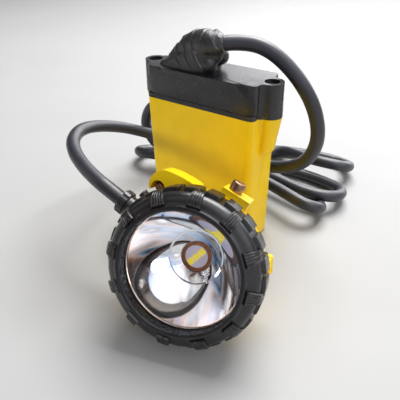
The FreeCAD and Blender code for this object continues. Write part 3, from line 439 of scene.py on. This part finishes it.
def refined(name, node, look, width=0.4, segments=3, angle=30.0):
    """The node's own outline with its edges rounded off."""
    mesh = frame["nodes"][node].data.copy()
    mesh.name = name
    work = bmesh.new()
    work.from_mesh(mesh)
    bmesh.ops.remove_doubles(work, verts=work.verts, dist=0.002 * MM)
    bmesh.ops.dissolve_limit(work, angle_limit=math.radians(0.6), verts=work.verts, edges=work.edges)
    work.to_mesh(mesh)
    work.free()
    piece = add_piece(name, mesh, look, NODE_BODY[node], [node], 40.0)
    bevel = piece.modifiers.new("edges", "BEVEL")
    bevel.width = width * MM
    bevel.segments = segments
    bevel.limit_method = "ANGLE"
    bevel.angle_limit = math.radians(angle)
    bevel.miter_outer = "MITER_ARC"
    return piece


# ---- pieces ----
BAR_COUNT = 12
BAR_AT = -7.0
BAR_RISE = 1.5
BAR_WIDTH = 7.8
BAR_TAPER = 2.4
BAR_GAP_STEPS = 14
LUG_COUNT = 24
LUG_GAP_AT = 7.0
LUG_GAP_WIDTH = 2.9
LUG_R = 42.9
BAND_R = 40.5


def make_bezel():
    """Screwed ring: lip, shoulder with ribbed bars, and a band of lugs behind."""
    outer = rounded([(31.7, 3.0), (31.7, 4.9), (32.6, 5.3), (34.2, 5.3), (34.8, 4.5),
                     (35.4, 4.1), (38.4, 2.9),
                     (40.1, 1.3), (41.0, -0.6), (41.0, -1.9), (40.5, -2.4), (40.5, -2.75)])
    inner = [(38.6, -2.75), (38.5, -2.9), (38.5, -4.6), (34.8, -4.6), (34.8, 0.0), (31.5, 0.0), (31.6, 2.0)]
    lengths = [0.0]
    for a, b in zip(outer, outer[1:]):
        lengths.append(lengths[-1] + math.dist(a, b))
    start = next(s for s, p in zip(lengths, outer) if p[0] > 35.0)
    end = next(s for s, p in zip(lengths, outer) if p[1] < -1.6)

    def at(s):
        """Point on the outer profile and the way along it."""
        i = max(k for k in range(len(lengths) - 1) if lengths[k] <= s or k == 0)
        a, b = outer[i], outer[i + 1]
        f = (s - lengths[i]) / (lengths[i + 1] - lengths[i])
        way = Vector((b[0] - a[0], b[1] - a[1])).normalized()
        return a[0] + (b[0] - a[0]) * f, a[1] + (b[1] - a[1]) * f, way

    ribs = [(-0.5, 0.0), (-0.485, 0.85), (-0.465, 1.0), (-0.33, 1.0), (-0.3, 0.86), (-0.27, 1.0),
            (-0.12, 0.97),
            (-0.09, 0.84), (-0.06, 0.97), (0.08, 0.98), (0.11, 0.85), (0.14, 0.98), (0.29, 1.0), (0.32, 0.86),
            (0.35, 1.0), (0.465, 1.0), (0.485, 0.85), (0.5, 0.0)]
    body_rows = sorted(set(lengths) | {start + i * (end - start) / 20 for i in range(1, 20)})
    rows = []

    def row(s, lift, jag):
        points = []
        share = min(max((s - start) / (end - start), 0.0), 1.0)
        width = BAR_WIDTH - BAR_TAPER * share
        for bar in range(BAR_COUNT):
            middle = BAR_AT + bar * 360 / BAR_COUNT
            for k, (across, high) in enumerate(ribs):
                ragged = noise.noise(Vector((bar * 7.3, k * 2.9, 0.5))) * jag
                r, z, way = at(min(max(s + ragged, 0.0), lengths[-1]))
                uneven = 1 + 0.08 * noise.noise(Vector((bar * 3.1, k * 0.8, s * 0.5)))
                tall = BAR_RISE * high * lift * uneven
                r, z = r - way.y * tall, z + way.x * tall
                points.append(head_polar(r, middle + math.degrees(across * width / r), z))
            r, z, way = at(s)
            edge = math.degrees(width / 2 / r)
            for g in range(1, BAR_GAP_STEPS):
                turn = middle + edge + (360 / BAR_COUNT - 2 * edge) * g / BAR_GAP_STEPS
                points.append(head_polar(r, turn, z))
        return points

    for s in body_rows:
        if s < start or s > end:
            rows.append(row(s, 0.0, 0.0))
        if s == start:
            rows += [row(s, 0.0, 0.0), row(s + 0.05, 0.75, 0.3), row(s + 0.3, 1.0, 0.9)]
        if start + 1.0 < s < end - 0.3:
            rows.append(row(s, 1.0, 0.0))
        if s == end:
            rows += [row(s - 0.15, 0.9, 0.0), row(s, 0.55, 0.0)]
    width = len(rows[0])
    for r, z in inner:
        rows.append([head_polar(r, BAR_AT + j * 360 / width, z) for j in range(width)])
    tread = torus_mesh("bezel_tread", rows)

    gap = math.degrees(LUG_GAP_WIDTH / LUG_R)
    pitch = 360 / LUG_COUNT
    across = [(0.0, 0.0), (0.012, 0.0), (0.03, 0.9), (0.06, 1.0), (0.2, 1.0), (0.35, 1.01),
              (0.5, 1.02), (0.65, 1.01),
              (0.8, 1.0), (0.94, 1.0), (0.97, 0.9), (0.988, 0.0)]
    band = [(40.3, -2.85, 0.0), (40.4, -2.9, 0.0), (42.5, -3.0, 1.0), (42.8, -3.2, 1.0), (LUG_R, -3.6, 1.0),
            (LUG_R, -6.0, 1.0), (LUG_R, -9.0, 1.0), (LUG_R, -12.0, 1.0), (42.85, -13.4, 1.0),
            (42.2, -14.6, 1.0),
            (41.2, -15.7, 1.0), (40.5, -16.0, 0.0), (38.6, -16.0, 0.0), (38.5, -15.8, 0.0), (38.5, -3.0, 0.0),
            (38.6, -2.85, 0.0)]
    lug_rows = []
    for r, z, share in band:
        points = []
        for lug in range(LUG_COUNT):
            low = LUG_GAP_AT + lug * pitch + gap / 2
            for f, high in across:
                radius = BAND_R + (r - BAND_R) * high if share else r
                points.append(head_polar(radius, low + f * (pitch - gap), z))
            for g in (0.15, 0.5, 0.85):
                points.append(head_polar(min(r, BAND_R), low + pitch - gap + g * gap, z))
        lug_rows.append(points)
    add_piece("bezel_tread", tread, "bezel_rubber", "bezel", ["bezel_ring"], 32.0)
    add_piece("bezel_lugs", torus_mesh("bezel_lugs", lug_rows), "bezel_rubber", "bezel", ["bezel_ring"], 32.0)


def make_optics():
    """Lens, and reflector with its step ring."""
    mouth, throat, depth, top = 31.2, 9.0, 27.0, -4.8
    span = mouth ** 2 - throat ** 2
    steps = 60

    def cup(r):
        return -depth + (depth + top) * (r ** 2 - throat ** 2) / span

    inside = []
    for i in range(steps + 1):
        r = throat + (mouth - throat) * i / steps
        inside.append((r, cup(r) + (0.35 if r < 14.6 else 0.0)))
    inside += [(31.6, top + 0.25), (32.0, top + 0.3), (34.6, top + 0.3), (34.7, top - 0.8), (33.0, top - 1.2)]
    outside = [(r + 1.1, cup(r) - 0.3) for r in (29.5, 25.0, 20.0, 15.0, 10.0)]
    lathe("reflector_cup", inside + outside, "reflector_chrome", "lamp", ["reflector"], 256, 50.0)
    lens = [(0, -0.3), (17.0, -0.3), (34.0, -0.3), (34.4, -0.5), (34.5, -0.9), (34.5, -2.8),
            (34.2, -3.2), (33.6, -3.3), (17.0, -3.3), (0, -3.3)]
    disc_lathe("lens_disc", lens, "lens_clear", "lens_carrier", ["lens"], 160)


BOOT_SINK = 0.3
BOOT_CELL = 0.55
BOOT_SMOOTHING = 26
WRAP_LIFT = 0.55
CREASE_LIFT = 0.16
WAVE_LIFT = 0.3
WRAP_WANDER = 0.22
WRAP_PITCH = 7.2
WRAP_STEP = 0.95
SPINE = [((-30, 1.5, 106), 7.6), ((-28.5, 1, 109), 7.9), ((-22.5, 0.5, 116.3), 8.2),
         ((-15, -0.8, 122.3), 8.4),
         ((-10, -1.8, 126.3), 8.7), ((-5, -3, 128.9), 8.4), ((0, -4.4, 130.5), 7.9), ((4, -5, 131), 7.3)]
MOUTH = Vector((10, -2, 131))
MOUTH_WAY = (Vector(ROUTE[1]) - MOUTH).normalized()


def along_spine(points, share):
    """Centre and radius at a share of the way along a chain of (centre, radius)."""
    place = share * (len(points) - 1)
    i = min(int(place), len(points) - 2)
    (a, ra), (b, rb) = points[i], points[i + 1]
    return Vector(a).lerp(Vector(b), place - i), ra + (rb - ra) * (place - i)


def fused(work, cell, smoothing):
    """One closed skin round overlapping solids, from a voxel remesh."""
    mesh = bpy.data.meshes.new("fused")
    work.to_mesh(mesh)
    work.free()
    rough = bpy.data.objects.new("fused", mesh)
    scene.collection.objects.link(rough)
    remesh = rough.modifiers.new("remesh", "REMESH")
    remesh.mode = "VOXEL"
    remesh.voxel_size = cell
    soften = rough.modifiers.new("soften", "SMOOTH")
    soften.factor = 0.5
    soften.iterations = smoothing
    graph = bpy.context.evaluated_depsgraph_get()
    skin = bpy.data.meshes.new_from_object(rough.evaluated_get(graph))
    bpy.data.objects.remove(rough)
    return skin


def make_boot():
    """Tape-wrapped strain relief on the lid: an arch and its skirt, fused, then wrapped and creased."""
    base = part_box("battery_lid")[1].z / MM
    balls = [along_spine(SPINE, i / 40) for i in range(41)]
    work = bmesh.new()

    def add_ball(at, radius):
        ball = bmesh.ops.create_uvsphere(work, u_segments=28, v_segments=20, radius=radius)
        bmesh.ops.translate(work, verts=ball["verts"], vec=at)

    for at, radius in balls:
        add_ball(at, radius)
    sleeve = bmesh.ops.create_cone(work, cap_ends=True, segments=40, radius1=7.2, radius2=5.9, depth=7.5)
    turn = MOUTH_WAY.to_track_quat("Z", "Y").to_matrix()
    bmesh.ops.rotate(work, verts=sleeve["verts"], cent=(0, 0, 0), matrix=turn)
    bmesh.ops.translate(work, verts=sleeve["verts"], vec=MOUTH - MOUTH_WAY * 2.6)
    # lobes of the moulding under the mouth
    for at, radius in (((6.6, -4.0, 124.0), 4.6), ((3.5, -6.5, 119.5), 5.4), ((5.0, 4.5, 121.5), 5.2),
                       ((7.2, -3.4, 136.0), 2.3), ((6.2, -1.2, 136.2), 2.3)):
        add_ball(Vector(at), radius)
    # skirt: hull of the foot on the lid and the lower part of the arch
    hull = bmesh.new()
    for j in range(40):
        turn = 2 * math.pi * j / 40
        x, y = math.cos(turn), math.sin(turn)
        reach = 1.0 / (abs(x) ** 3.2 + abs(y) ** 3.2) ** (1 / 3.2)
        hull.verts.new((-14.5 + 21.0 * reach * x, -0.7 + 11.6 * reach * y, base - 0.6))
        hull.verts.new((-14.5 + 20.4 * reach * x, -0.7 + 11.0 * reach * y, base + 1.2))
    for at, radius in balls[8:38:3]:
        for j in range(12):
            turn = math.pi * (1 + j / 11)
            hull.verts.new(at + Vector((0, math.cos(turn) * radius * 0.9, math.sin(turn) * radius * 0.9)))
    bmesh.ops.convex_hull(hull, input=hull.verts)
    skirt = bpy.data.meshes.new("skirt")
    hull.to_mesh(skirt)
    hull.free()
    work.from_mesh(skirt)
    skin = fused(work, BOOT_CELL, BOOT_SMOOTHING)

    # wraps of tape, their torn edges, and wrinkles that run down into the skirt
    chain = [at for at, _ in balls] + [MOUTH - MOUTH_WAY * (6 - i) for i in range(8)]
    tree = kdtree.KDTree(len(chain))
    for i, at in enumerate(chain):
        tree.insert(at, i)
    tree.balance()
    work = bmesh.new()
    work.from_mesh(skin)
    work.normal_update()
    moves = []
    for vertex in work.verts:
        at, index, _ = tree.find(vertex.co)
        off = vertex.co - at
        around = math.atan2(off.y, off.z)
        low = min(max((vertex.co.z - base) / 5.0, 0.0), 1.0)
        wander = WRAP_WANDER * noise.noise(vertex.co * 0.07)
        wind = index * WRAP_STEP / WRAP_PITCH + around / (2 * math.pi) * 0.8 + wander
        lap = wind - math.floor(wind)
        lift = WRAP_LIFT * lap * lap * (0.3 + 0.7 * low)
        slant = Vector((vertex.co.x * 0.5 + vertex.co.z * 0.22, vertex.co.y * 0.12, vertex.co.z * 0.05))
        crease = noise.noise(slant * 0.85)
        lift += CREASE_LIFT * (1 - min(abs(crease) * 5.0, 1.0)) * low
        lift += WAVE_LIFT * noise.noise(slant * 0.35 + Vector((9, 2, 4)))
        if vertex.co.z < base + 0.6:
            lift = 0.0
        moves.append(vertex.normal * lift)
    for vertex, move in zip(work.verts, moves):
        vertex.co += move
    for vertex in work.verts:
        vertex.co.z = max(vertex.co.z, base - BOOT_SINK)
    skin_tree = BVHTree.FromBMesh(work)
    for vertex in work.verts:
        vertex.co *= MM
    work.to_mesh(skin)
    work.free()
    boot = add_piece("tape_boot", skin, "wrap_film", "lamp", ["cable_hump", "boot_wrap"], 75.0)
    boot.modifiers.new("finer", "SUBSURF").levels = 1
    boot.modifiers["finer"].render_levels = 1
    return skin_tree


def fold_lines(tree):
    """Raised edges of the tape, laid on the boot's skin; their light grey colour is a painted glint."""
    routes = [
        ([(-4.2, -11.5, 127.4), (-2.4, -11.6, 124.6), (-0.5, -11.7, 121.1),
          (1.6, -12.0, 117.6), (3.5, -12.4, 114.0)], 0.24),
        ([(-2.6, -12.0, 127.6), (-0.5, -12.0, 125.4)], 0.26),
        ([(1.4, -11.6, 129.6), (4.8, -11.8, 125.4)], 0.14),
        ([(7.8, -9.0, 133.3), (9.4, -9.0, 131.4), (10.8, -8.8, 130.0), (12.4, -7.6, 128.8)], 0.2),
    ]
    for number, (route, thick) in enumerate(routes):
        data = bpy.data.curves.new("tape_edge_%d" % number, "CURVE")
        data.dimensions = "3D"
        spline = data.splines.new("NURBS")
        hits = []
        for a, b in zip(route, route[1:]):
            for k in range(4):
                at = Vector(a).lerp(Vector(b), k / 4)
                near, normal, _, _ = tree.find_nearest(at)
                hits.append(near + normal * 0.12)
        spline.points.add(len(hits) - 1)
        for point, at, k in zip(spline.points, hits, range(len(hits))):
            point.co = (*(at * MM), 1.0)
            point.radius = 0.35 + 0.65 * math.sin(math.pi * (k + 0.5) / len(hits))
        spline.order_u = 3
        spline.use_endpoint_u = True
        data.bevel_depth = thick * MM
        data.bevel_resolution = 3
        data.materials.append(LOOKS["tape_edge_glint"])
        edge = bpy.data.objects.new("tape_edge_%d" % number, data)
        scene.collection.objects.link(edge)
        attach(edge, "lamp")


def build():
    make_bezel()
    make_optics()
    fold_lines(make_boot())
    refined("case_shell", "battery_case", "yellow_shell", 0.5)
    refined("lid_shell", "battery_lid", "black_shell", 0.5)
    refined("head_shell", "head_body", "yellow_shell", 0.5)
    refined("contact_stud", "charge_stud", "brass", 0.25)
    refined("contact_pin", "charge_pin", "brass", 0.3)
    refined("cable_nut", "gland_nut", "black_shell", 0.3)
    refined("cable_neck", "gland_neck", "black_shell", 0.3)
    refined("plug_screw", "lock_screw", "black_shell", 0.3)
    refined("mode_knob", "switch_knob", "yellow_shell", 0.4)
    refined("belt_strap", "belt_loop", "black_shell", 0.6)
    refined("belt_rivets", "belt_loop_rivets", "steel", 0.25)
    refined("hook_blade", "helmet_hook", "black_shell", 0.6)
    refined("hook_bolts", "hook_screws", "steel", 0.25)


NODE_LOOKS = {
    "lid_gasket": "seal_rubber", "lid_screws": "steel", "screw_inserts": "brass", "cells": "cell_wrap",
    "cell_cradles": "cradle_plastic", "nickel_strips": "nickel", "foam_pad": "foam",
    "protection_board": "circuit_board", "board_parts": "chip_black",
    "cable_tail": "cable_jacket", "cable_clamp": "black_shell",
    "clamp_screws": "steel", "battery_leads": "lead_insulation", "lens_seal": "seal_rubber",
    "led_board": "led_ceramic", "led_ring": "copper", "led_chips": "led_phosphor", "heat_sink": "aluminium",
    "driver_board": "circuit_board", "driver_parts": "chip_black", "switch_shaft": "steel",
    "switch_oring": "seal_rubber", "rotary_switch": "chip_black",
    "stud_nut": "brass", "pin_collar": "seal_rubber",
    "gland_seal": "seal_rubber", "cable_end": "cable_jacket", "head_leads": "lead_insulation",
}

build()
for node, look in NODE_LOOKS.items():
    for material_slot in frame["nodes"][node].material_slots:
        material_slot.material = LOOKS[look]


# ---- studio ----
FLOOR_HALF = 4.0
ROOM_SCALE = 1.25
ROOM_DISTORTION = 0.6
WORLD_STRENGTH = 0.65
CAMERA_WHITE = 1.3


def make_studio():
    mesh = bpy.data.meshes.new("floor")
    half = FLOOR_HALF
    mesh.from_pydata([(-half, -half, 0), (half, -half, 0), (half, half, 0),
                      (-half, half, 0)], [], [(0, 1, 2, 3)])
    floor = bpy.data.objects.new("floor", mesh)
    scene.collection.objects.link(floor)
    look = Look("floor", Specular_IOR_Level=0.3)
    look.colour(look.ramp(look.noise(180.0, 2.0), ((0.3, (0.49, 0.49, 0.488)), (0.7, (0.51, 0.51, 0.508)))))
    look.roughness(0.55, 0.62, size=40.0)
    mesh.materials.append(look.material)

    world = bpy.data.worlds.new("studio")
    world.use_nodes = True
    scene.world = world
    nodes, links = world.node_tree.nodes, world.node_tree.links
    back = nodes["Background"]
    place = nodes.new("ShaderNodeTexCoord").outputs["Generated"]
    path = nodes.new("ShaderNodeLightPath").outputs

    def towards(way, low, high, dark, bright):
        """Colours by how near a direction is to a given way."""
        tilt = nodes.new("ShaderNodeVectorMath")
        tilt.operation = "DOT_PRODUCT"
        tilt.inputs[1].default_value = Vector(way).normalized()
        links.new(place, tilt.inputs[0])
        shade = nodes.new("ShaderNodeValToRGB")
        for element, at, colour in zip(shade.color_ramp.elements, (low, high), (dark, bright)):
            element.position = at
            element.color = (*colour, 1)
        links.new(tilt.outputs["Value"], shade.inputs["Fac"])
        return shade.outputs["Color"]

    def blend(kind, factor, low, high):
        mix = nodes.new("ShaderNodeMix")
        mix.data_type = "RGBA"
        mix.blend_type = kind
        mix.clamp_result = False
        for socket, value in ((mix.inputs[0], factor), (mix.inputs[6], low), (mix.inputs[7], high)):
            if isinstance(value, bpy.types.NodeSocket):
                links.new(value, socket)
            else:
                socket.default_value = value
        return mix.outputs[2]

    # broad sky for all light; window, ceiling and right-hand lobes and a patchy room for reflections alone
    sky = towards((0.35, 0.6, 0.7), 0.0, 0.85, (0.13, 0.14, 0.16), (0.75, 0.75, 0.76))
    window = towards((-0.05, 0.92, 0.38), 0.82, 0.93, (0, 0, 0), (1, 1, 1))
    window = blend("MULTIPLY", 1.0, window, (4.8, 4.8, 4.9, 1))
    ceiling = towards((0.45, 0.1, 0.88), 0.72, 0.98, (0, 0, 0), (1, 1, 1))
    ceiling = blend("MULTIPLY", 1.0, ceiling, (2.8, 2.8, 3.1, 1))
    right = towards((0.85, -0.4, 0.2), 0.6, 0.9, (0, 0, 0), (1, 1, 1))
    right = blend("MULTIPLY", 1.0, right, (1.1, 1.1, 1.2, 1))
    above = blend("ADD", 1.0, window, ceiling)
    bright = blend("MULTIPLY", 1.0, blend("ADD", 1.0, above, right), path["Is Glossy Ray"])
    room = nodes.new("ShaderNodeTexNoise")
    room.inputs["Scale"].default_value = ROOM_SCALE
    room.inputs["Detail"].default_value = 2.0
    room.inputs["Distortion"].default_value = ROOM_DISTORTION
    links.new(place, room.inputs["Vector"])
    patches = nodes.new("ShaderNodeValToRGB")
    stops = ((0.30, (1.5, 1.5, 1.5)), (0.40, (0.6, 0.52, 0.48)),
             (0.44, (0.05, 0.04, 0.04)), (0.50, (0.3, 0.16, 0.1)),
             (0.55, (0.62, 0.52, 0.47)), (0.60, (0.12, 0.3, 0.5)),
             (0.63, (0.05, 0.05, 0.06)), (0.72, (1.4, 1.38, 1.35)))
    while len(patches.color_ramp.elements) < len(stops):
        patches.color_ramp.elements.new(0.5)
    for element, (at, colour) in zip(patches.color_ramp.elements, stops):
        element.position = at
        element.color = (*colour, 1)
    links.new(room.outputs["Fac"], patches.inputs["Fac"])
    ahead = towards((0.1, -0.9, 0.3), 0.05, 0.3, (0, 0, 0), (1, 1, 1))
    mirrored = blend("MULTIPLY", 1.0, ahead, path["Is Glossy Ray"])
    seen = blend("MIX", mirrored, sky, patches.outputs["Color"])
    lit = blend("ADD", 1.0, seen, bright)
    plain = blend("MIX", path["Is Camera Ray"], lit, (CAMERA_WHITE, CAMERA_WHITE, CAMERA_WHITE, 1))
    links.new(plain, back.inputs["Color"])
    back.inputs["Strength"].default_value = WORLD_STRENGTH

    def lamp(name, at, aim, size, power, mirrored=True):
        """Area light aimed at a point; one that isn't mirrored stays out of reflections."""
        data = bpy.data.lights.new(name, "AREA")
        data.shape = "RECTANGLE"
        data.size, data.size_y = size
        data.energy = power
        light = bpy.data.objects.new(name, data)
        scene.collection.objects.link(light)
        light.location = at
        light.visible_glossy = mirrored
        light.rotation_mode = "QUATERNION"
        light.rotation_quaternion = (Vector(aim) - light.location).to_track_quat("-Z", "Y")

    lamp("key", Vector((-0.06, 0.62, 1.08)), (0.0, 0.06, 0.05), (0.9, 0.7), 23.0)
    lamp("side", Vector((1.15, -0.25, 0.32)), (0, 0, 0.06), (0.4, 0.4), 4.2, False)
    lamp("front", Vector((-0.8, -1.0, 0.2)), (0, 0, 0.09), (0.6, 0.24), 6.2, False)


make_studio()
